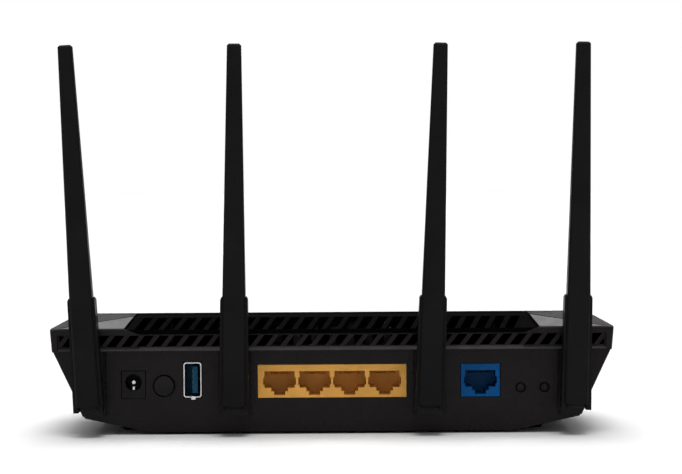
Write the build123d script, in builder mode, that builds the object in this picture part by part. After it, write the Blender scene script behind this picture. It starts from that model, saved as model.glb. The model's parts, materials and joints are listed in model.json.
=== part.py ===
"""Wireless router with four folding antennas, made as separate pieces that share one frame.

Millimetres. The port side faces -Y, +X is to the right of someone looking at the ports, and +Z is up.
The origin is on the table, under the middle of the router with its antennas up.
"""

import os
from math import atan2, cos, degrees, radians, sin, tan

from build123d import *

# ---- Driving dimensions ----
width = 224.0
depth = 154.0
height = 155.0
wall = 2.0

# Stations along Y, from the antennas to the front edge.
antenna_face_y = -depth / 2
rear_y = antenna_face_y + 11.0
band_y = rear_y + 1.5
panel_y = rear_y + 4.0
front_y = depth / 2

# Stations along Z, from the table to the ridge.
belly_z = 1.0
chine_z = 6.6
board_z = 14.5
seam_z = 33.3
ledge_foot_z = 33.7
ledge_z = 35.2
band_top_z = 40.2
edge_z = 42.5
fold_z = 47.2
ridge_z = 47.6
front_edge_z = 36.0

# The case in plan and in section.
seam_half = width / 2 - 0.8
chine_inset = 12.6
belly_inset = 38.7
corner_y = 14.0
front_half = 84.0
fold_depth = 12.5
ridge_depth = 24.0
hip_slope = 0.526
cover_overhang = 0.8
edge_chamfer = 0.4
# Where the inner skin's lower corners lie, for each millimetre of wall.
inner_seam, inner_chine, inner_belly = (1.106, 0.0), (0.694, 0.874), (0.105, 1.0)

# Sockets and buttons on the port panel: centres along X, and heights.
lan_x, lan_pitch, lan_count, lan_width = 0.0, 13.97, 4, 59.2
wan_x, wan_width = 59.1, 15.5
jack_top_z, jack_length, jack_depth = 27.6, 21.0, 14.0
dc_x, dc_width, dc_top_z, dc_hole_z = -79.2, 9.4, 25.4, 20.9
power_x, power_z = -67.0, 19.5
usb_x, usb_width, usb_low_z, usb_top_z = -55.6, 7.1, 14.8, 28.8
small_button_x, small_button_z = (75.1, 84.6), 18.1
cutout_gap = 0.25
power_hole_radius, small_hole_radius, collar_reach = 4.5, 2.15, 0.95

# Vents at the rear: a row right across the band, and a second row in the grille above it.
slot_width, slot_lean = 3.7, radians(38)
band_slot_pitch, band_slot_count, band_slot_reach, band_end = 5.935, 38, 108.3, 3.0
grille_slot_pitch, grille_slot_count, grille_slot_middle = 5.886, 26, -1.5
grille_low_half, grille_half, grille_top_half = 76.4, 82.6, 78.0
grille_recess, grille_sheet = 0.7, 1.6
slot_margin = 0.5

# Grooves between the facets of the roof.
groove_width, groove_depth = 0.7, 0.5
groove_start, groove_front_x, groove_front_y = 4.0, 46.0, 66.0

# Antennas: pivots along X, the lean of each one as it stands, and the stations along its length.
antenna_x = (-96.3, -38.7, 38.7, 96.3)
antenna_lean = (-3.26, 0.4, 2.0, 1.44)
pivot_y, pivot_z = antenna_face_y + 5.1, 14.2
blade_low, blade_waist, blade_tip = -1.9, 42.8, height - pivot_z
sheath_low, sheath_top, sheath_rim, sheath_back, heel_radius = -4.1, 41.1, -3.5, 5.1, 5.5
knuckle_radius, knuckle_half = 3.4, 3.4
pin_radius, stud_radius = 1.0, 3.0
running_gap = 0.05
pillar_width, pillar_low_z = 12.8, 7.6
bearing_length, clip_radius = 2.5, 4.6

# Board and its fixings.
board_sheet = 1.6
board_low_z = board_z - board_sheet
board_rear_y, board_front_y = panel_y + 3.0, 60.0
board_half, board_front_half = 89.0, 62.0
case_screws_at = [(-66, -27), (66, -27), (-50, 38), (50, 38)]
board_screws_at = [(-84, -43), (84, -46), (-76, 8), (76, 8)]
boss_joint_z = 20.0
case_boss_radius, cover_boss_radius, standoff_radius = 4.0, 3.2, 3.0
case_screw_radius, case_head_radius, case_head_z = 1.2, 2.6, boss_joint_z - 5.0
board_screw_radius, board_head_radius, thread_reach = 1.1, 2.8, 7.5

# Wall-mount keyholes in the floor.
keyhole_x, keyhole_y, keyhole_travel = 52.0, -14.0, 9.0
keyhole_head_radius, keyhole_neck_radius = 4.2, 2.2

# Status lights along the front of the roof.
led_count, led_pitch, led_y, led_width, led_length = 7, 8.0, 56.0, 3.0, 1.2

os.makedirs("parts", exist_ok=True)


def save(part, name):
    """Labels one finished piece and writes it under its own name."""
    part.label = name
    export_step(part, f"parts/{name}.step")


def rear_plane(y):
    """A plane facing the rear at the given Y, with X to the right and Z up."""
    return Plane.XZ.offset(-y)


def plan_outline(grow):
    """The case in plan, its straight sides carried on behind the rear face."""
    sides = seam_half
    front = front_y - cover_overhang
    Polygon((-sides, -2 * width / 3), (sides, -2 * width / 3), (sides, corner_y), (front_half, front),
            (-front_half, front), (-sides, corner_y), align=None)
    if grow:
        offset(amount=grow, kind=Kind.INTERSECTION)


def end_facet(side, skin):
    """The plane of the small facet between the rear slope and one end of the roof."""
    corner = Vector(side * width / 2, rear_y, edge_z - edge_chamfer / 2)
    hip_top = width / 2 - (ridge_z - edge_z) / hip_slope
    to_fold = Vector(side * grille_top_half, rear_y + fold_depth, fold_z) - corner
    to_ridge = Vector(side * hip_top, rear_y + ridge_depth, ridge_z) - corner
    return Plane(origin=corner, z_dir=to_fold.cross(to_ridge) * -side).offset(-skin)


def case_form(skin):
    """The closed case as a solid, or the space left inside it by a skin of the given thickness."""
    with BuildPart() as form:
        for inset, z, inner in ((0, seam_z, inner_seam), (chine_inset, chine_z, inner_chine),
                                (belly_inset, belly_z, inner_belly)):
            with BuildSketch(Plane.XY.offset(z + skin * inner[1])):
                plan_outline(-inset - skin * inner[0])
        loft(ruled=True)
        with BuildSketch(Plane.XY.offset(seam_z)):
            plan_outline(cover_overhang - skin)
        extrude(amount=ridge_z - seam_z + 1)
        with BuildSketch(Plane.YZ):
            Polygon((rear_y, -width), (rear_y, edge_z), (rear_y + fold_depth, fold_z),
                    (rear_y + ridge_depth, ridge_z), (front_y, front_edge_z), (front_y, -width), align=None)
            if skin:
                offset(amount=-skin, kind=Kind.INTERSECTION)
        extrude(amount=width, both=True, mode=Mode.INTERSECT)
        with BuildSketch(Plane.XZ):
            hip_half = width / 2 - (ridge_z + wall - edge_z) / hip_slope
            Polygon((-seam_half, -width), (seam_half, -width), (seam_half, seam_z), (width / 2, edge_z),
                    (hip_half, ridge_z + wall), (-hip_half, ridge_z + wall), (-width / 2, edge_z),
                    (-seam_half, seam_z), align=None)
            if skin:
                offset(amount=-skin, kind=Kind.INTERSECTION)
        extrude(amount=width, both=True, mode=Mode.INTERSECT)
        if not skin:
            chamfer([edge for edge in form.edges() if (edge @ 0.5).Z > seam_z + edge_chamfer],
                    length=edge_chamfer)
        for side in (-1, 1):
            split(bisect_by=end_facet(side, skin), keep=Keep.BOTTOM)
    return form.part


def slot_row(count, pitch, middle, low, high, lean):
    """A row of leaning slots between two heights of a rear-facing sketch."""
    shift = (high - low) * tan(lean) / 2
    half = slot_width / 2
    for i in range(count):
        x = middle + (i - (count - 1) / 2) * pitch
        Polygon((x - half - shift, low), (x + half - shift, low), (x + half + shift, high),
                (x - half + shift, high), align=None)


outer = case_form(0)
inner = case_form(wall)

# ---- Space inside the housing, and inside the cover above its rear ledge ----
with BuildPart() as housing_space:
    add(inner)
    split(bisect_by=rear_plane(panel_y + wall), keep=Keep.BOTTOM)
with BuildPart() as cover_space:
    add(inner)
    split(bisect_by=rear_plane(band_y + wall), keep=Keep.BOTTOM)
    split(bisect_by=Plane.XY.offset(ledge_z), keep=Keep.TOP)
    add(housing_space.part)

# ---- Bottom housing: floor, sides, port panel and the four antenna pillars ----
floor_z = belly_z + wall
pillar_depth = panel_y + wall - rear_y
with BuildPart() as pillars:
    add(outer)
    split(bisect_by=Plane.XY.offset(seam_z), keep=Keep.BOTTOM)
    with BuildSketch(rear_plane(rear_y)):
        for x in antenna_x:
            with Locations((x, (seam_z + pillar_low_z) / 2)):
                Rectangle(pillar_width, seam_z - pillar_low_z)
    extrude(amount=-pillar_depth, mode=Mode.INTERSECT)
    chamfer(pillars.edges().filter_by(Axis.Z).group_by(Axis.Y)[0], length=1.4)

with BuildPart() as bottom_housing:
    add(outer)
    split(bisect_by=Plane.XY.offset(seam_z), keep=Keep.BOTTOM)
    split(bisect_by=rear_plane(panel_y), keep=Keep.BOTTOM)
    add(housing_space.part, mode=Mode.SUBTRACT)
    add(pillars.part)
    # Cut-outs of the port panel.
    with BuildSketch(rear_plane(panel_y)):
        with Locations((lan_x, (board_z + jack_top_z) / 2)):
            Rectangle(lan_width + 2 * cutout_gap, jack_top_z - board_z + 2 * cutout_gap)
        with Locations((wan_x, (board_z + jack_top_z) / 2)):
            Rectangle(wan_width + 2 * cutout_gap, jack_top_z - board_z + 2 * cutout_gap)
        with Locations((dc_x, (board_z + dc_top_z) / 2)):
            Rectangle(dc_width + 2 * cutout_gap, dc_top_z - board_z + 2 * cutout_gap)
        with Locations((usb_x, (usb_low_z + usb_top_z) / 2)):
            Rectangle(usb_width + 2 * cutout_gap, usb_top_z - usb_low_z + 2 * cutout_gap)
        with Locations((power_x, power_z)):
            Circle(power_hole_radius)
        with Locations(*[(x, small_button_z) for x in small_button_x]):
            Circle(small_hole_radius)
    extrude(amount=-wall, mode=Mode.SUBTRACT)
    # Swivel bearings through the pillars, wider inside for the retaining clips.
    with BuildSketch(rear_plane(rear_y)):
        with Locations(*[(x, pivot_z) for x in antenna_x]):
            Circle(stud_radius + running_gap)
    extrude(amount=-pillar_depth, mode=Mode.SUBTRACT)
    with BuildSketch(rear_plane(rear_y + bearing_length)):
        with Locations(*[(x, pivot_z) for x in antenna_x]):
            Circle(clip_radius + 0.6)
    extrude(amount=-(pillar_depth - bearing_length), mode=Mode.SUBTRACT)
    # Screw bosses and board stand-offs, rooted in the floor and the slopes beside it.
    with BuildSketch(Plane.XY.offset(floor_z - 0.5)):
        with Locations(*case_screws_at):
            Circle(case_boss_radius)
    extrude(amount=boss_joint_z - floor_z + 0.5)
    with BuildSketch(Plane.XY):
        with Locations(*board_screws_at):
            Circle(standoff_radius)
    extrude(amount=board_low_z)
    add(outer, mode=Mode.INTERSECT)
    with BuildSketch(Plane.XY):
        with Locations(*case_screws_at):
            Circle(case_head_radius + 0.4)
    extrude(amount=case_head_z + 2.0, mode=Mode.SUBTRACT)
    with BuildSketch(Plane.XY):
        with Locations(*case_screws_at):
            Circle(case_screw_radius + 0.4)
    extrude(amount=boss_joint_z, mode=Mode.SUBTRACT)
    with BuildSketch(Plane.XY.offset(board_low_z - thread_reach)):
        with Locations(*board_screws_at):
            Circle(board_screw_radius)
    extrude(amount=thread_reach, mode=Mode.SUBTRACT)
    # Floor vents and the two keyholes for hanging the router on a wall.
    with BuildSketch(Plane.XY):
        with Locations((0, -2)):
            with GridLocations(6.5, 28, 10, 2):
                SlotOverall(22, 2.4, rotation=90)
        with Locations(*[(side * keyhole_x, keyhole_y) for side in (-1, 1)]):
            Circle(keyhole_head_radius)
        with Locations(*[(side * keyhole_x, keyhole_y + keyhole_travel / 2) for side in (-1, 1)]):
            Rectangle(2 * keyhole_neck_radius, keyhole_travel)
        with Locations(*[(side * keyhole_x, keyhole_y + keyhole_travel) for side in (-1, 1)]):
            Circle(keyhole_neck_radius)
    extrude(amount=floor_z + 0.1, mode=Mode.SUBTRACT)
save(bottom_housing.part, "bottom_housing")


# ---- Top cover: roof, rear band with its ledge and slots, and bosses for the case screws ----
with BuildPart() as grille_opening:
    with BuildSketch(rear_plane(rear_y - 1)):
        Polygon((-grille_low_half, band_top_z), (grille_low_half, band_top_z), (grille_half, edge_z),
                (grille_top_half, ridge_z + 1), (-grille_top_half, ridge_z + 1), (-grille_half, edge_z),
                align=None)
    extrude(amount=-(ridge_depth + 1))

groove_rise = fold_depth / (width / 2 - grille_top_half)
with BuildPart() as grooves:
    with BuildSketch(Plane.XY.offset(front_edge_z)):
        for side in (-1, 1):
            with BuildLine():
                Line((side * (width / 2 - groove_start), rear_y + groove_start * groove_rise),
                     (side * grille_top_half, rear_y + fold_depth))
            trace(line_width=groove_width)
            with BuildLine():
                Line((side * grille_top_half, rear_y + ridge_depth), (side * groove_front_x, groove_front_y))
            trace(line_width=groove_width)
    extrude(amount=ridge_z - front_edge_z + 1)
    add(outer, mode=Mode.INTERSECT)
    add(case_form(groove_depth), mode=Mode.SUBTRACT)

with BuildPart() as cover_bosses:
    with BuildSketch(Plane.XY.offset(boss_joint_z)):
        with Locations(*case_screws_at):
            Circle(cover_boss_radius)
    extrude(amount=ridge_z - boss_joint_z)
    add(outer, mode=Mode.INTERSECT)

with BuildPart() as top_cover:
    add(outer)
    split(bisect_by=Plane.XY.offset(seam_z), keep=Keep.TOP)
    add(cover_space.part, mode=Mode.SUBTRACT)
    # The band set back above its sloping ledge, between solid ends.
    with BuildSketch(Plane.YZ):
        Polygon((rear_y - 1, ledge_foot_z), (rear_y, ledge_foot_z), (band_y, ledge_z), (band_y, band_top_z),
                (rear_y - 1, band_top_z), align=None)
    extrude(amount=width / 2 - band_end, both=True, mode=Mode.SUBTRACT)
    with BuildSketch(rear_plane(band_y)):
        slot_row(band_slot_count, band_slot_pitch, 0, ledge_z + 0.1, band_top_z - slot_margin, slot_lean)
        with Locations((0, band_top_z)):
            Rectangle(2 * band_slot_reach, 2 * band_top_z, mode=Mode.INTERSECT)
    extrude(amount=-wall, mode=Mode.SUBTRACT)
    add(grille_opening.part, mode=Mode.SUBTRACT)
    add(grooves.part, mode=Mode.SUBTRACT)
    # Bosses with their pilot holes, and windows over the status lights.
    add(cover_bosses.part)
    with BuildSketch(Plane.XY.offset(boss_joint_z)):
        with Locations(*case_screws_at):
            Circle(case_screw_radius)
    extrude(amount=10, mode=Mode.SUBTRACT)
    with BuildSketch(Plane.XY.offset(seam_z)):
        with Locations((0, led_y)):
            with GridLocations(led_pitch, 1, led_count, 1):
                Rectangle(led_width, led_length)
    extrude(amount=ridge_z - seam_z, mode=Mode.SUBTRACT)
save(top_cover.part, "top_cover")

# ---- Rear grille: a bent sheet that fills the opening, a little below the cover's surface ----
slope = atan2(fold_z - edge_z, fold_depth)
slope_length = fold_depth / cos(slope)
slope_plane = Plane(origin=(0, rear_y, edge_z), x_dir=(1, 0, 0), z_dir=(0, -sin(slope), cos(slope)))
with BuildPart() as rear_grille:
    add(grille_opening.part)
    add(case_form(grille_recess), mode=Mode.INTERSECT)
    add(case_form(grille_recess + grille_sheet), mode=Mode.SUBTRACT)
    # Slots square to the slope, which look from behind as if they leaned like those in the band.
    with BuildSketch(slope_plane):
        slot_row(grille_slot_count, grille_slot_pitch, grille_slot_middle, slot_margin,
                 slope_length - 2 * slot_margin, atan2(sin(slope) * sin(slot_lean), cos(slot_lean)))
    extrude(amount=-4, both=True, mode=Mode.SUBTRACT)
save(rear_grille.part, "rear_grille")

# ---- Main board with its notches and holes ----
with BuildPart() as main_board:
    with BuildSketch(Plane.XY.offset(board_low_z)):
        Polygon((-board_half, board_rear_y), (board_half, board_rear_y), (board_half, corner_y),
                (board_front_half, board_front_y), (-board_front_half, board_front_y),
                (-board_half, corner_y), align=None)
        with Locations(*[(x, board_rear_y) for x in antenna_x[1:3]]):
            Rectangle(10, 26, mode=Mode.SUBTRACT)
        with Locations(*case_screws_at):
            Circle(4.6, mode=Mode.SUBTRACT)
        with Locations(*board_screws_at):
            Circle(1.5, mode=Mode.SUBTRACT)
    extrude(amount=board_sheet)
save(main_board.part, "main_board")


# ---- Network sockets ----
def socket_mouths(centres):
    """Stepped mouths of network sockets, latch side down, on a rear-facing sketch."""
    steps = ((12.0, 18.4, 25.0), (13.1, 19.6, 22.5), (6.6, 17.0, 18.5), (4.4, 15.5, 17.1))
    for x in centres:
        for across, low, high in steps:
            with Locations((x, (low + high) / 2)):
                Rectangle(across, high - low)


def jack_block(centre, across, sockets):
    """A moulded socket block standing on the board with its face in the port panel."""
    with BuildPart() as block:
        with BuildSketch(rear_plane(panel_y)):
            with Locations((centre, (board_z + jack_top_z) / 2)):
                Rectangle(across, jack_top_z - board_z)
        extrude(amount=-jack_length)
        with BuildSketch(rear_plane(panel_y)):
            socket_mouths(sockets)
        extrude(amount=-jack_depth, mode=Mode.SUBTRACT)
    return block.part


def jack_contacts(sockets):
    """Eight sprung wires in each socket, sloping back from its roof."""
    wire, pitch, count = 0.4, 1.02, 8
    mouth, back = panel_y + 3, panel_y + jack_depth
    with BuildPart() as wires:
        for x in sockets:
            for i in range(count):
                offset_x = x + (i - (count - 1) / 2) * pitch - wire / 2
                with BuildSketch(Plane.YZ.offset(offset_x)):
                    Polygon((mouth, 25.0), (mouth + 1.4, 25.0), (mouth + 7.4, 23.5), (back, 23.5),
                            (back, 23.1), (mouth + 7.2, 23.1), align=None)
                extrude(amount=wire)
    return wires.part


lan_sockets = [lan_x + (i - (lan_count - 1) / 2) * lan_pitch for i in range(lan_count)]
save(jack_block(lan_x, lan_width, lan_sockets), "lan_jack_block")
save(jack_contacts(lan_sockets), "lan_jack_contacts")
save(jack_block(wan_x, wan_width, [wan_x]), "wan_jack")
save(jack_contacts([wan_x]), "wan_jack_contacts")

# ---- Power inlet ----
dc_length, dc_bore_depth, dc_bore_radius, dc_pin_radius, spring_sheet = 14.0, 10.0, 3.3, 1.0, 0.4
with BuildPart() as dc_jack_body:
    with BuildSketch(rear_plane(panel_y)):
        with Locations((dc_x, (board_z + dc_top_z) / 2)):
            Rectangle(dc_width, dc_top_z - board_z)
    extrude(amount=-dc_length)
    with BuildSketch(rear_plane(panel_y)):
        with Locations((dc_x, dc_hole_z)):
            Circle(dc_bore_radius)
    extrude(amount=-dc_bore_depth, mode=Mode.SUBTRACT)
save(dc_jack_body.part, "dc_jack_body")
with BuildPart() as dc_jack_contacts:
    with BuildSketch(rear_plane(panel_y + 1.0)):
        with Locations((dc_x, dc_hole_z)):
            Circle(dc_pin_radius)
    extrude(amount=-(dc_bore_depth - 1.0))
    fillet(dc_jack_contacts.faces().sort_by(Axis.Y)[0].edges(), radius=0.6)
    # Leaf spring along the floor of the bore, its front end turned up.
    with BuildSketch(Plane.YZ.offset(dc_x)):
        spring_z, spring_start, spring_end = dc_hole_z - 3.1, panel_y + 1.6, panel_y + dc_bore_depth
        Polygon((spring_start, spring_z), (spring_end, spring_z), (spring_end, spring_z + spring_sheet),
                (spring_start + 1.2, spring_z + spring_sheet), (spring_start + spring_sheet, spring_z + 1.3),
                (spring_start, spring_z + 1.3), align=None)
    extrude(amount=0.4, both=True)
save(dc_jack_contacts.part, "dc_jack_contacts")

# ---- USB socket ----
usb_mid_z = (usb_low_z + usb_top_z) / 2
usb_length, usb_sheet, usb_base = 17.0, 0.4, 2.5
usb_face_y = panel_y - 0.6
with BuildPart() as usb_shell:
    with BuildSketch(rear_plane(usb_face_y)):
        with Locations((usb_x, usb_mid_z)):
            RectangleRounded(usb_width, usb_top_z - usb_low_z, 1.1)
            RectangleRounded(usb_width - 2 * usb_sheet, usb_top_z - usb_low_z - 2 * usb_sheet, 0.8,
                             mode=Mode.SUBTRACT)
    extrude(amount=-usb_length)
    # A small tab folded down over the panel.
    with BuildSketch(rear_plane(usb_face_y)):
        with Locations((usb_x + 0.3, usb_low_z + 0.1)):
            Rectangle(1.7, 0.9, align=(Align.CENTER, Align.MAX))
    extrude(amount=-usb_sheet)
save(usb_shell.part, "usb_shell")
with BuildPart() as usb_tongue:
    with BuildSketch(rear_plane(usb_face_y + usb_length - usb_base)):
        with Locations((usb_x, usb_mid_z)):
            RectangleRounded(usb_width - 2 * usb_sheet, usb_top_z - usb_low_z - 2 * usb_sheet, 0.8)
    extrude(amount=-usb_base)
    with BuildSketch(rear_plane(usb_face_y + 1.2)):
        with Locations((usb_x + 1.0, usb_mid_z)):
            Rectangle(2.0, 10.6)
    extrude(amount=-(usb_length - usb_base - 1.0))
save(usb_tongue.part, "usb_tongue")
with BuildPart() as usb_contacts:
    with BuildSketch(rear_plane(usb_face_y + 4.0)):
        with Locations((usb_x - 0.1, usb_mid_z)):
            with GridLocations(1, 2.2, 1, 4):
                Rectangle(0.2, 1.1)
    extrude(amount=-6)
save(usb_contacts.part, "usb_contacts")


# ---- Buttons and switches ----
def push_button(x, z, cap_radius, proud, stem_radius, stem_length, dish):
    """A dished cap in its hole, with a collar behind the panel and a stem to its switch."""
    collar_y, collar_sheet = panel_y + wall + 0.3, 0.9
    with BuildPart() as button:
        with BuildSketch(rear_plane(panel_y - proud)):
            with Locations((x, z)):
                Circle(cap_radius)
        extrude(amount=-(collar_y + collar_sheet - panel_y + proud))
        fillet(button.faces().sort_by(Axis.Y)[0].edges(), radius=0.4)
        dish_radius = (cap_radius - 0.5) ** 2 / (2 * dish) + dish / 2
        with Locations((x, panel_y - proud + dish - dish_radius, z)):
            Sphere(dish_radius, mode=Mode.SUBTRACT)
        with BuildSketch(rear_plane(collar_y)):
            with Locations((x, z)):
                Circle(cap_radius + collar_reach)
        extrude(amount=-collar_sheet)
        with BuildSketch(rear_plane(collar_y + collar_sheet)):
            with Locations((x, z)):
                Circle(stem_radius)
        extrude(amount=-stem_length)
    return button.part


def switch_body(x, z, across, face_y, length, bore_radius, bore_depth):
    """A switch standing on the board, bored for the stem of its button."""
    with BuildPart() as body:
        with BuildSketch(rear_plane(face_y)):
            with Locations((x, (board_z + z + across / 2) / 2)):
                Rectangle(across, z + across / 2 - board_z)
        extrude(amount=-length)
        with BuildSketch(rear_plane(face_y)):
            with Locations((x, z)):
                Circle(bore_radius)
        extrude(amount=-bore_depth, mode=Mode.SUBTRACT)
    return body.part


power_switch_y, tact_switch_y = panel_y + 5.5, panel_y + 4.6
save(push_button(power_x, power_z, 4.0, 1.0, 1.4, 3.6, dish=0.5), "power_button")
save(switch_body(power_x, power_z, 8.5, power_switch_y, 12.0, 1.6, 4.0), "power_switch_body")
for x, name in zip(small_button_x, ("wps_button", "reset_button")):
    save(push_button(x, small_button_z, 1.5, 0.2, 0.8, 2.0, dish=0.15), name)
with BuildPart() as tact_switches:
    for x in small_button_x:
        add(switch_body(x, small_button_z, 6.0, tact_switch_y, 4.0, 1.0, 2.0))
save(tact_switches.part, "tact_switches")


# ---- Chips, cooling and the other parts on the board ----
def blocks(places, across, deep, low, tall):
    """Identical upright blocks whose centres in plan are listed."""
    with BuildPart() as group:
        with BuildSketch(Plane.XY.offset(low)):
            with Locations(*places):
                Rectangle(across, deep)
        extrude(amount=tall)
    return group.part


chip_height, pad_sheet = 1.4, 0.8
chips_at = [(-18, 12), (16, 14)]
save(blocks(chips_at, 17, 17, board_z, chip_height), "chips")
save(blocks(chips_at, 15, 15, board_z + chip_height, pad_sheet), "thermal_pads")
sink_z, sink_sheet, fin_height = board_z + chip_height + pad_sheet, 2.0, 9.0
with BuildPart() as heatsink:
    with BuildSketch(Plane.XY.offset(sink_z)):
        with Locations((0, 12)):
            Rectangle(76, 36)
    extrude(amount=sink_sheet)
    with BuildSketch(Plane.XY.offset(sink_z + sink_sheet)):
        with Locations((0, 12)):
            with GridLocations(1, 3.9, 1, 10):
                Rectangle(76, 0.9)
    extrude(amount=fin_height)
save(heatsink.part, "heatsink")
save(blocks([(-58, 6), (58, 6)], 26, 22, board_z, 3.2), "rf_shields")
transformers_at = [(-lan_pitch, -33), (lan_pitch, -33), (53, -34)]
save(blocks(transformers_at, 15.5, 9, board_z, 6), "network_transformers")
save(blocks([(-76, -38), (-76, -26), (-66, -10)], 6.6, 6.6, board_z, 3), "power_inductors")
with BuildPart() as capacitors:
    with BuildSketch(Plane.XY.offset(board_z)):
        with Locations((-50, -34), (-50, -22), (-84, -12), (46, -14), (30, -20)):
            Circle(3.15)
    extrude(amount=7.7)
    fillet(capacitors.edges().filter_by(GeomType.CIRCLE).group_by(Axis.Z)[-1], radius=0.5)
save(capacitors.part, "capacitors")

# ---- Status lights and their light guide ----
with BuildPart() as status_leds:
    with BuildSketch(Plane.XY.offset(board_z)):
        with Locations((0, led_y)):
            with GridLocations(led_pitch, 1, led_count, 1):
                Rectangle(1.6, 0.8)
    extrude(amount=0.8)
save(status_leds.part, "status_leds")
with BuildPart() as led_light_pipe:
    with BuildSketch(Plane.XY.offset(board_z + 1.6)):
        with Locations((0, led_y)):
            with GridLocations(led_pitch, 1, led_count, 1):
                Rectangle(led_width, led_length)
    extrude(amount=ridge_z)
    with BuildSketch(Plane.XY.offset(board_z + 12)):
        with Locations((0, led_y)):
            Rectangle(led_pitch * (led_count - 1) + 6, led_length)
    extrude(amount=2)
    add(outer, mode=Mode.INTERSECT)
save(led_light_pipe.part, "led_light_pipe")

# ---- Feet and screws ----
foot_x, foot_rear_y, foot_front_y, foot_width, foot_length, foot_taper = 80.0, -33.0, 22.0, 11.0, 16.0, 0.9
feet_at = [(-foot_x, foot_rear_y), (foot_x, foot_rear_y), (-foot_x + 18, foot_front_y),
           (foot_x - 18, foot_front_y)]
with BuildPart() as rubber_feet:
    with BuildSketch(Plane.XY):
        with Locations(*feet_at):
            RectangleRounded(foot_width, foot_length, 2.0)
    extrude(amount=chine_z)
    add(outer, mode=Mode.SUBTRACT)
    chamfer(rubber_feet.edges().group_by(Axis.Z)[0], length=foot_taper)
save(rubber_feet.part, "rubber_feet")
with BuildPart() as case_screws:
    with BuildSketch(Plane.XY.offset(case_head_z)):
        with Locations(*case_screws_at):
            Circle(case_head_radius)
            RegularPolygon(1.1, 6, mode=Mode.SUBTRACT)
    extrude(amount=2.0)
    with BuildSketch(Plane.XY.offset(case_head_z + 1.4)):
        with Locations(*case_screws_at):
            Circle(case_screw_radius)
    extrude(amount=10)
save(case_screws.part, "case_screws")
with BuildPart() as board_screws:
    with BuildSketch(Plane.XY.offset(board_z)):
        with Locations(*board_screws_at):
            Circle(board_head_radius)
            RegularPolygon(1.0, 6, mode=Mode.SUBTRACT)
    extrude(amount=1.6)
    with BuildSketch(Plane.XY.offset(board_z - 6)):
        with Locations(*board_screws_at):
            Circle(board_screw_radius)
    extrude(amount=6.6)
save(board_screws.part, "board_screws")

# ---- Antenna leads inside the case ----
lead_radius = 0.7
connectors_at = [(-80, -18), (-36, -36), (36, -36), (80, -18)]
with BuildPart() as antenna_connectors:
    with BuildSketch(Plane.XY.offset(board_z)):
        with Locations(*connectors_at):
            Circle(1.6)
    extrude(amount=2.2)
save(antenna_connectors.part, "antenna_connectors")


def lead_route(side, inner_pair):
    """Corners of a lead from its swivel to its connector, and the radius of each bend."""
    start_y = rear_y + 4.8
    if inner_pair:
        corners = [(38.7, start_y, pivot_z), (38.7, -55.5, pivot_z), (37.8, -47.0, 15.5), (36.2, -37.7, 15.5)]
    else:
        corners = [(96.3, start_y, pivot_z), (96.3, -50.0, pivot_z), (92.7, -38.0, 16.4),
                   (86.6, -27.6, 16.0), (81.0, -19.5, 15.5)]
    points = [Vector(side * x, y, z) for x, y, z in corners]
    runs = [b - a for a, b in zip(points, points[1:])]
    radii = []
    for before, after in zip(runs, runs[1:]):
        shorter = min(before.length, after.length)
        radii.append(0.45 * shorter / tan(radians(before.get_angle(after)) / 2))
    return points, radii


with BuildPart() as coax_leads:
    for side in (-1, 1):
        for inner_pair in (False, True):
            points, radii = lead_route(side, inner_pair)
            with BuildLine() as route:
                FilletPolyline(*points, radius=radii)
            with BuildSketch(Plane(route.line @ 0, z_dir=route.line % 0)):
                Circle(lead_radius)
            sweep(path=route.wire())
            print("lead length", round(route.wire().length, 1), "bend radii", [round(r, 1) for r in radii])
save(coax_leads.part, "coax_leads")


# ---- One antenna, upright, with its fold pin at the origin and its outer face towards -Y ----
def section(half, outer_y, inner_y, bevel):
    """An antenna's cross-section with bevelled edges."""
    Polygon((-half + bevel, outer_y), (half - bevel, outer_y), (half, outer_y + bevel),
            (half, inner_y - bevel), (half - bevel, inner_y), (-half + bevel, inner_y),
            (-half, inner_y - bevel), (-half, outer_y + bevel), align=None)


with BuildPart() as blade:
    with BuildSketch(Plane.XY.offset(blade_low)):
        section(4.7, -5.1, 3.75, 0.7)
    with BuildSketch(Plane.XY.offset(blade_waist)):
        section(4.5, -4.7, 3.5, 0.7)
    with BuildSketch(Plane.XY.offset(blade_tip)):
        section(2.75, -3.0, 2.4, 0.5)
    loft(ruled=True)
with BuildPart() as blade_space:
    with BuildSketch(Plane.XY.offset(blade_low)):
        section(3.7, -3.7, 2.75, 0.4)
    with BuildSketch(Plane.XY.offset(blade_waist)):
        section(3.5, -3.6, 2.5, 0.4)
    with BuildSketch(Plane.XY.offset(blade_tip - 2.0)):
        section(1.8, -2.0, 1.4, 0.3)
    loft(ruled=True)

knuckle_top = 4.2
with BuildPart() as antenna_outer_shell:
    add(blade.part)
    chamfer(antenna_outer_shell.faces().sort_by(Axis.Z)[-1].edges(), length=0.7)
    chamfer(antenna_outer_shell.faces().sort_by(Axis.Z)[0].edges(), length=0.4)
    add(blade_space.part, mode=Mode.SUBTRACT)
    with BuildSketch(Plane.XY.offset(blade_low - 1)):
        with Locations((0, 0)):
            Rectangle(7.4, 7.4, align=(Align.CENTER, Align.MIN))
    extrude(amount=knuckle_top - blade_low + 1, mode=Mode.SUBTRACT)
    with BuildSketch(Plane.YZ):
        Circle(pin_radius)
    extrude(amount=6, both=True, mode=Mode.SUBTRACT)

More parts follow.
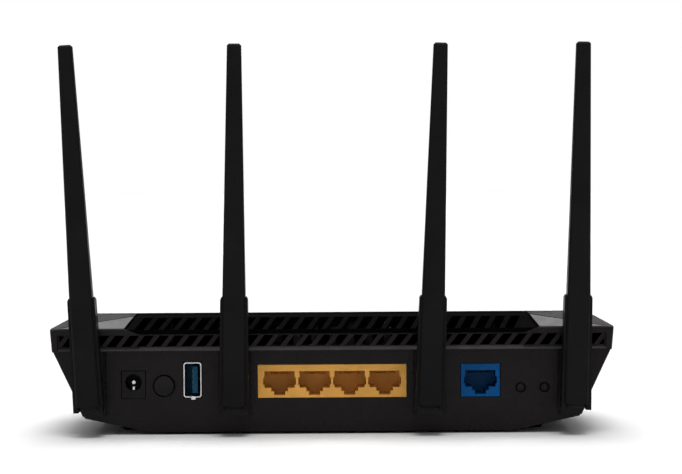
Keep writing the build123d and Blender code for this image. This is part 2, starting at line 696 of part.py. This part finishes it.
with BuildPart() as antenna_inner_shell:
    with BuildSketch(Plane.XZ):
        Polygon((-5.85, sheath_low), (5.85, sheath_low), (5.4, sheath_top - 1), (4.9, sheath_top),
                (-4.9, sheath_top), (-5.4, sheath_top - 1), align=None)
    extrude(amount=7, both=True)
    with BuildSketch(Plane.YZ):
        with BuildLine():
            heel_z = -((heel_radius**2 - sheath_back**2) ** 0.5)
            heel_y = (heel_radius**2 - sheath_low**2) ** 0.5
            Polyline((heel_y, sheath_low), (sheath_rim, sheath_low), (sheath_rim, sheath_top),
                     (3.9, sheath_top), (sheath_back, sheath_top - 1.5), (sheath_back, heel_z))
            RadiusArc((sheath_back, heel_z), (heel_y, sheath_low), heel_radius)
        make_face()
    extrude(amount=7, both=True, mode=Mode.INTERSECT)
    add(blade.part, mode=Mode.SUBTRACT)
    with BuildSketch(Plane.XY.offset(sheath_low)):
        Rectangle(7.6, 14)
    extrude(amount=knuckle_top - sheath_low, mode=Mode.SUBTRACT)
    with BuildSketch(Plane.YZ):
        Circle(pin_radius)
    extrude(amount=7, both=True, mode=Mode.SUBTRACT)

with BuildPart() as antenna_pin:
    with BuildSketch(Plane.YZ):
        Circle(pin_radius)
    extrude(amount=5.6, both=True)

stud_start, clip_y = rear_y - 0.3 - pivot_y, rear_y + 2.6 - pivot_y
stud_end, clip_sheet = rear_y + 4.5 - pivot_y, 0.8
with BuildPart() as antenna_swivel:
    with BuildSketch(Plane.YZ):
        Circle(knuckle_radius)
        Rectangle(stud_start, 2 * knuckle_radius, align=(Align.MIN, Align.CENTER))
    extrude(amount=knuckle_half, both=True)
    with BuildSketch(Plane.XZ.offset(-stud_start)):
        Circle(stud_radius)
    extrude(amount=-(stud_end - stud_start))
    with BuildSketch(Plane.XZ.offset(-clip_y)):
        Circle(stud_radius)
        Circle(stud_radius - 0.6, mode=Mode.SUBTRACT)
    extrude(amount=-clip_sheet, mode=Mode.SUBTRACT)
    with BuildSketch(Plane.XZ.offset(-stud_end)):
        Circle(1.2)
    extrude(amount=stud_end - stud_start, mode=Mode.SUBTRACT)
    with BuildSketch(Plane.YZ):
        Circle(pin_radius + running_gap)
    extrude(amount=6, both=True, mode=Mode.SUBTRACT)

with BuildPart() as antenna_clip:
    with BuildSketch(Plane.XZ.offset(-clip_y)):
        Circle(clip_radius)
        Circle(stud_radius - 0.6, mode=Mode.SUBTRACT)
        with Locations((0, -3.6)):
            Rectangle(3.2, 4.0, mode=Mode.SUBTRACT)
    extrude(amount=-clip_sheet)

with BuildPart() as antenna_radiator:
    with BuildSketch(Plane.XZ):
        Polygon((-3.2, 8), (3.2, 8), (3.2, 40), (1.6, 130), (-1.6, 130), (-3.2, 40), align=None)
    extrude(amount=0.4, both=True)

antenna_pieces = {"outer_shell": antenna_outer_shell, "inner_shell": antenna_inner_shell, "pin": antenna_pin,
                  "swivel": antenna_swivel, "clip": antenna_clip, "radiator": antenna_radiator}
for number, (x, lean) in enumerate(zip(antenna_x, antenna_lean), start=1):
    stand = Location((x, pivot_y, pivot_z), (0, lean, 0))
    for name, piece in antenna_pieces.items():
        save(stand * piece.part, f"antenna_{number}_{name}")
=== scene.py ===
"""Looks for the wireless router: materials, floor, lights and camera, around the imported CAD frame."""

import json
from math import atan, radians

import bpy
from mathutils import Matrix, Vector

MM = 0.001

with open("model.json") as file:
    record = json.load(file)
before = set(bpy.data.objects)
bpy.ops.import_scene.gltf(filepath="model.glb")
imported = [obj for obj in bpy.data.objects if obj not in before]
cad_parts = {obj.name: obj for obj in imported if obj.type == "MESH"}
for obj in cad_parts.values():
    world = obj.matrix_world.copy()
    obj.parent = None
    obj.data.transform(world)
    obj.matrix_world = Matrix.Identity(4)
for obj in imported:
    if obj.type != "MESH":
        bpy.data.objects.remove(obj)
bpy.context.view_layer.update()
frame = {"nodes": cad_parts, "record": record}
nodes = frame["nodes"]


# ---- Materials ----
class Graph:
    """A material's node tree, with short calls for the nodes used here."""

    def __init__(self, name):
        self.material = bpy.data.materials.new(name)
        self.material.use_nodes = True
        self.tree = self.material.node_tree
        self.shader = self.tree.nodes["Principled BSDF"]
        self.place = self.add("ShaderNodeTexCoord").outputs["Object"]

    def add(self, kind, **settings):
        node = self.tree.nodes.new(kind)
        for key, value in settings.items():
            setattr(node, key, value)
        return node

    def link(self, source, target):
        self.tree.links.new(source, target)

    def noise(self, feature, detail=3.0, roughness=0.55, stretch=(1, 1, 1)):
        """Noise whose features are about the given size in metres, drawn out along an axis by a stretch."""
        place = self.place
        if stretch != (1, 1, 1):
            scaled = self.add("ShaderNodeMapping")
            scaled.inputs["Scale"].default_value = [1 / value for value in stretch]
            self.link(place, scaled.inputs["Vector"])
            place = scaled.outputs["Vector"]
        node = self.add("ShaderNodeTexNoise")
        node.inputs["Scale"].default_value = 1 / feature
        node.inputs["Detail"].default_value = detail
        node.inputs["Roughness"].default_value = roughness
        self.link(place, node.inputs["Vector"])
        return node.outputs["Fac"]

    def pits(self, feature):
        """The pebbled grain of a spark-eroded mould: cells of about the given size in metres."""
        node = self.add("ShaderNodeTexVoronoi", feature="SMOOTH_F1")
        node.inputs["Scale"].default_value = 1 / feature
        node.inputs["Smoothness"].default_value = 0.6
        self.link(self.place, node.inputs["Vector"])
        return node.outputs["Distance"]

    def mapped(self, source, low, high, to_low=0.0, to_high=1.0):
        node = self.add("ShaderNodeMapRange")
        for name, value in zip(("From Min", "From Max", "To Min", "To Max"), (low, high, to_low, to_high)):
            node.inputs[name].default_value = value
        self.link(source, node.inputs["Value"])
        return node.outputs["Result"]

    def product(self, first, second):
        node = self.add("ShaderNodeMath", operation="MULTIPLY")
        self.link(first, node.inputs[0])
        self.link(second, node.inputs[1])
        return node.outputs["Value"]

    def mixed(self, factor, first, second):
        """A colour between two, by a factor socket; the first may be a socket too."""
        node = self.add("ShaderNodeMix", data_type="RGBA")
        if isinstance(first, tuple):
            node.inputs[6].default_value = (*first, 1)
        else:
            self.link(first, node.inputs[6])
        node.inputs[7].default_value = (*second, 1)
        self.link(factor, node.inputs[0])
        return node.outputs[2]

    def bump(self, height, distance, normal=None):
        node = self.add("ShaderNodeBump")
        node.inputs["Distance"].default_value = distance
        self.link(height, node.inputs["Height"])
        if normal is not None:
            self.link(normal, node.inputs["Normal"])
        return node.outputs["Normal"]

    def edges(self, radius):
        """A rounded normal for sharp edges, and a mask that is 1 along them."""
        rounded = self.add("ShaderNodeBevel", samples=4)
        rounded.inputs["Radius"].default_value = radius
        across = self.add("ShaderNodeVectorMath", operation="DOT_PRODUCT")
        self.link(rounded.outputs["Normal"], across.inputs[0])
        self.link(self.add("ShaderNodeNewGeometry").outputs["Normal"], across.inputs[1])
        return rounded.outputs["Normal"], self.mapped(across.outputs["Value"], 0.995, 0.85)


def plastic(name, colour, rough=(0.42, 0.58), specular=0.3, grain=0.45 * MM, grain_depth=0.012 * MM,
            wear_and_highlight=2.2, edge=0.25 * MM, tint=(1, 1, 1)):
    """Moulded plastic: faint mottling, pebbled grain, uneven gloss, and rounded edges made paler in patches,
    partly rubbing wear and partly a painted highlight.
    """
    g = Graph(name)
    rounded, edge_mask = g.edges(edge)
    # Paler edge colour: partly rubbing wear, partly a painted highlight standing in for light caught on the
    # edges.
    worn_and_highlit_edges = g.product(edge_mask, g.mapped(g.noise(6 * MM, 4), 0.4, 0.62))
    pale = tuple(min(1.25 * value + 0.0003, 1) for value in colour)
    rubbed_and_highlit = tuple(min(wear_and_highlight * value + 0.003, 1) for value in colour)
    mottled = g.mixed(g.mapped(g.noise(14 * MM, 4), 0.35, 0.68), colour, pale)
    g.link(g.mixed(worn_and_highlit_edges, mottled, rubbed_and_highlit), g.shader.inputs["Base Color"])
    gloss = g.mapped(g.noise(5 * MM, 4), 0.3, 0.7, *rough)
    g.link(gloss, g.shader.inputs["Roughness"])
    g.shader.inputs["Specular IOR Level"].default_value = specular
    g.shader.inputs["Specular Tint"].default_value = (*tint, 1)
    fine = g.bump(g.pits(grain), grain_depth, rounded)
    g.link(g.bump(g.noise(30 * MM, 2), 0.05 * MM, fine), g.shader.inputs["Normal"])
    return g.material


def metal(name, colour, rough=(0.22, 0.38), drawn=(1, 1, 1), edge=0.1 * MM):
    """Plated or drawn metal with fine scratches along its drawn direction."""
    g = Graph(name)
    rounded, edge_mask = g.edges(edge)
    g.shader.inputs["Metallic"].default_value = 1.0
    darker = tuple(0.78 * value for value in colour)
    brighter = tuple(min(1.12 * value, 1) for value in colour)
    tarnish = g.mixed(g.mapped(g.noise(4 * MM, 4), 0.3, 0.7), darker, colour)
    g.link(g.mixed(edge_mask, tarnish, brighter), g.shader.inputs["Base Color"])
    scratches = g.noise(0.5 * MM, 4, stretch=drawn)
    g.link(g.mapped(scratches, 0.3, 0.7, *rough), g.shader.inputs["Roughness"])
    g.link(g.bump(scratches, 0.004 * MM, rounded), g.shader.inputs["Normal"])
    return g.material


def board(name):
    """Solder mask over copper: green lands with paler tracks and a smooth, slightly wavy coat."""
    g = Graph(name)
    tracks = g.mapped(g.noise(2.2 * MM, 1), 0.49, 0.52)
    fields = g.mixed(g.mapped(g.noise(16 * MM, 3), 0.35, 0.7), (0.006, 0.040, 0.020), (0.009, 0.055, 0.027))
    g.link(g.mixed(tracks, fields, (0.014, 0.085, 0.040)), g.shader.inputs["Base Color"])
    g.link(g.mapped(g.noise(3 * MM, 3), 0.3, 0.7, 0.22, 0.38), g.shader.inputs["Roughness"])
    g.link(g.bump(tracks, 0.03 * MM), g.shader.inputs["Normal"])
    return g.material


def clear_guide(name):
    """Clear moulded plastic, a little hazed."""
    g = Graph(name)
    g.link(g.mixed(g.noise(3 * MM, 3), (0.80, 0.84, 0.87), (0.88, 0.91, 0.93)), g.shader.inputs["Base Color"])
    g.link(g.mapped(g.noise(1 * MM, 3), 0.3, 0.7, 0.08, 0.2), g.shader.inputs["Roughness"])
    g.shader.inputs["Transmission Weight"].default_value = 0.7
    g.link(g.bump(g.noise(2 * MM, 2), 0.01 * MM), g.shader.inputs["Normal"])
    return g.material


def make_finishes():
    """One finish for each material slot of the record."""
    smooth = {"rough": (0.26, 0.38), "specular": 0.06, "grain": 1.2 * MM, "grain_depth": 0.004 * MM,
              "wear_and_highlight": 1.15}
    along_y = (1, 12, 1)
    return {
        "case_plastic": plastic("case_plastic", (0.0063, 0.0058, 0.0061), (0.24, 0.33), 0.12,
                                grain_depth=0.008 * MM, tint=(1, 0.9, 0.91)),
        # The grille is set much darker and nearly unreflective next to the same case plastic: painted shade
        # for its recess.
        "grille_plastic": plastic("grille_plastic", (0.0014, 0.0012, 0.0013), (0.5, 0.6), 0.002, wear_and_highlight=1.5),
        "antenna_plastic": plastic("antenna_plastic", (0.0062, 0.0058, 0.0062), (0.34, 0.44), 0.06),
        "button_plastic": plastic("button_plastic", (0.0090, 0.0080, 0.0092), (0.33, 0.42), 0.12),
        "lan_plastic": plastic("lan_plastic", (0.70, 0.355, 0.078), **smooth),
        "wan_plastic": plastic("wan_plastic", (0.0012, 0.066, 0.215), **smooth),
        "component_black": plastic("component_black", (0.0095, 0.0090, 0.0100), (0.4, 0.55), 0.1),
        "usb_blue": plastic("usb_blue", (0.005, 0.060, 0.115), **smooth),
        "pad_grey": plastic("pad_grey", (0.30, 0.31, 0.33), (0.7, 0.85), 0.2, grain=0.8 * MM, wear_and_highlight=1.1),
        "foot_rubber": plastic("foot_rubber", (0.010, 0.010, 0.010), (0.72, 0.88), 0.2,
                               grain_depth=0.02 * MM),
        "led_body": plastic("led_body", (0.70, 0.66, 0.42), **smooth),
        "lead_jacket": plastic("lead_jacket", (0.009, 0.009, 0.009), (0.32, 0.45), 0.4, grain=0.8 * MM),
        "board_green": board("board_green"),
        "light_guide": clear_guide("light_guide"),
        "steel": metal("steel", (0.72, 0.71, 0.70), drawn=along_y),
        "contact_gold": metal("contact_gold", (0.80, 0.57, 0.22), drawn=along_y),
        "heatsink_aluminium": metal("heatsink_aluminium", (0.74, 0.74, 0.75), (0.32, 0.5), drawn=(12, 1, 1)),
        "capacitor_can": metal("capacitor_can", (0.70, 0.70, 0.72), drawn=(1, 1, 6)),
    }


def dress_nodes():
    """Gives each CAD node the finish of its slot."""
    finishes = make_finishes()
    for row in frame["record"]["subparts"]:
        data = nodes[row["node"]].data
        data.materials.clear()
        data.materials.append(finishes[row["material_slot"]])


# ---- Floor, lights and camera ----
def floor():
    reach = 14.0
    mesh = bpy.data.meshes.new("floor")
    mesh.from_pydata([(-reach, -reach, 0), (reach, -reach, 0), (reach, reach, 0), (-reach, reach, 0)], [],
                     [(0, 1, 2, 3)])
    ground = bpy.data.objects.new("floor", mesh)
    bpy.context.scene.collection.objects.link(ground)
    g = Graph("floor_paper")
    cloudy = g.noise(400 * MM, 3)
    g.link(g.mixed(cloudy, (0.95, 0.95, 0.95), (0.97, 0.97, 0.97)), g.shader.inputs["Base Color"])
    g.shader.inputs["Roughness"].default_value = 0.9
    g.shader.inputs["Specular IOR Level"].default_value = 0.0
    mesh.materials.append(g.material)


def soft_sun(name, place, strength, spread):
    """Wide, even light from far away, shining from the side of the given place."""
    lamp = bpy.data.lights.new(name, "SUN")
    lamp.energy = strength
    lamp.angle = radians(spread)
    holder = bpy.data.objects.new(name, lamp)
    holder.location = place
    holder.rotation_euler = (-Vector(place)).to_track_quat("-Z", "Y").to_euler()
    bpy.context.scene.collection.objects.link(holder)


def surroundings(towards, lobe_edge, dim, bright):
    """A studio tent: plain white to look at, brightest towards one direction and dim away from it."""
    world = bpy.data.worlds.new("studio")
    bpy.context.scene.world = world
    world.use_nodes = True
    tree = world.node_tree
    background = tree.nodes["Background"]
    background.inputs["Color"].default_value = (1, 1, 1, 1)
    along = tree.nodes.new("ShaderNodeVectorMath")
    along.operation = "DOT_PRODUCT"
    along.inputs[1].default_value = Vector(towards).normalized()
    tree.links.new(tree.nodes.new("ShaderNodeTexCoord").outputs["Generated"], along.inputs[0])
    spread = tree.nodes.new("ShaderNodeMapRange")
    spread.interpolation_type = "SMOOTHSTEP"
    for name, value in zip(("From Min", "From Max", "To Min", "To Max"), (lobe_edge, 1.0, dim, bright)):
        spread.inputs[name].default_value = value
    tree.links.new(along.outputs["Value"], spread.inputs["Value"])
    blend = tree.nodes.new("ShaderNodeMix")
    blend.inputs[3].default_value = 1.0
    tree.links.new(tree.nodes.new("ShaderNodeLightPath").outputs["Is Camera Ray"], blend.inputs[0])
    tree.links.new(spread.outputs["Result"], blend.inputs[2])
    tree.links.new(blend.outputs[0], background.inputs["Strength"])


def camera():
    """A long lens about a metre behind the port panel, above the antennas' middle and barely rolled."""
    panel_y, focal, image_width, sensor = -62 * MM, 2676, 682, 36.0
    distance, eye_height, offset = 1065 * MM, 102.6 * MM, 3.9 * MM
    pitch, roll = atan(60.8 / focal), radians(-0.355)
    data = bpy.data.cameras.new("camera")
    data.sensor_width = sensor
    data.lens = focal / image_width * sensor
    holder = bpy.data.objects.new("camera", data)
    holder.location = (offset, panel_y - distance, eye_height)
    turn = Matrix.Rotation(radians(90) - pitch, 4, "X") @ Matrix.Rotation(roll, 4, "Z")
    holder.rotation_euler = turn.to_euler()
    bpy.context.scene.collection.objects.link(holder)
    bpy.context.scene.camera = holder


dress_nodes()
floor()
surroundings(towards=(0, 0.58, 0.81), lobe_edge=0.86, dim=0.15, bright=4.2)
soft_sun("key", (0.05, -0.28, 1), 1.1, 28)
soft_sun("fill", (0.1, -1, 0.3), 0.5, 70)
soft_sun("top", (0, 0.3, 1), 0.6, 60)
camera()
bpy.context.scene.view_settings.view_transform = "Standard"
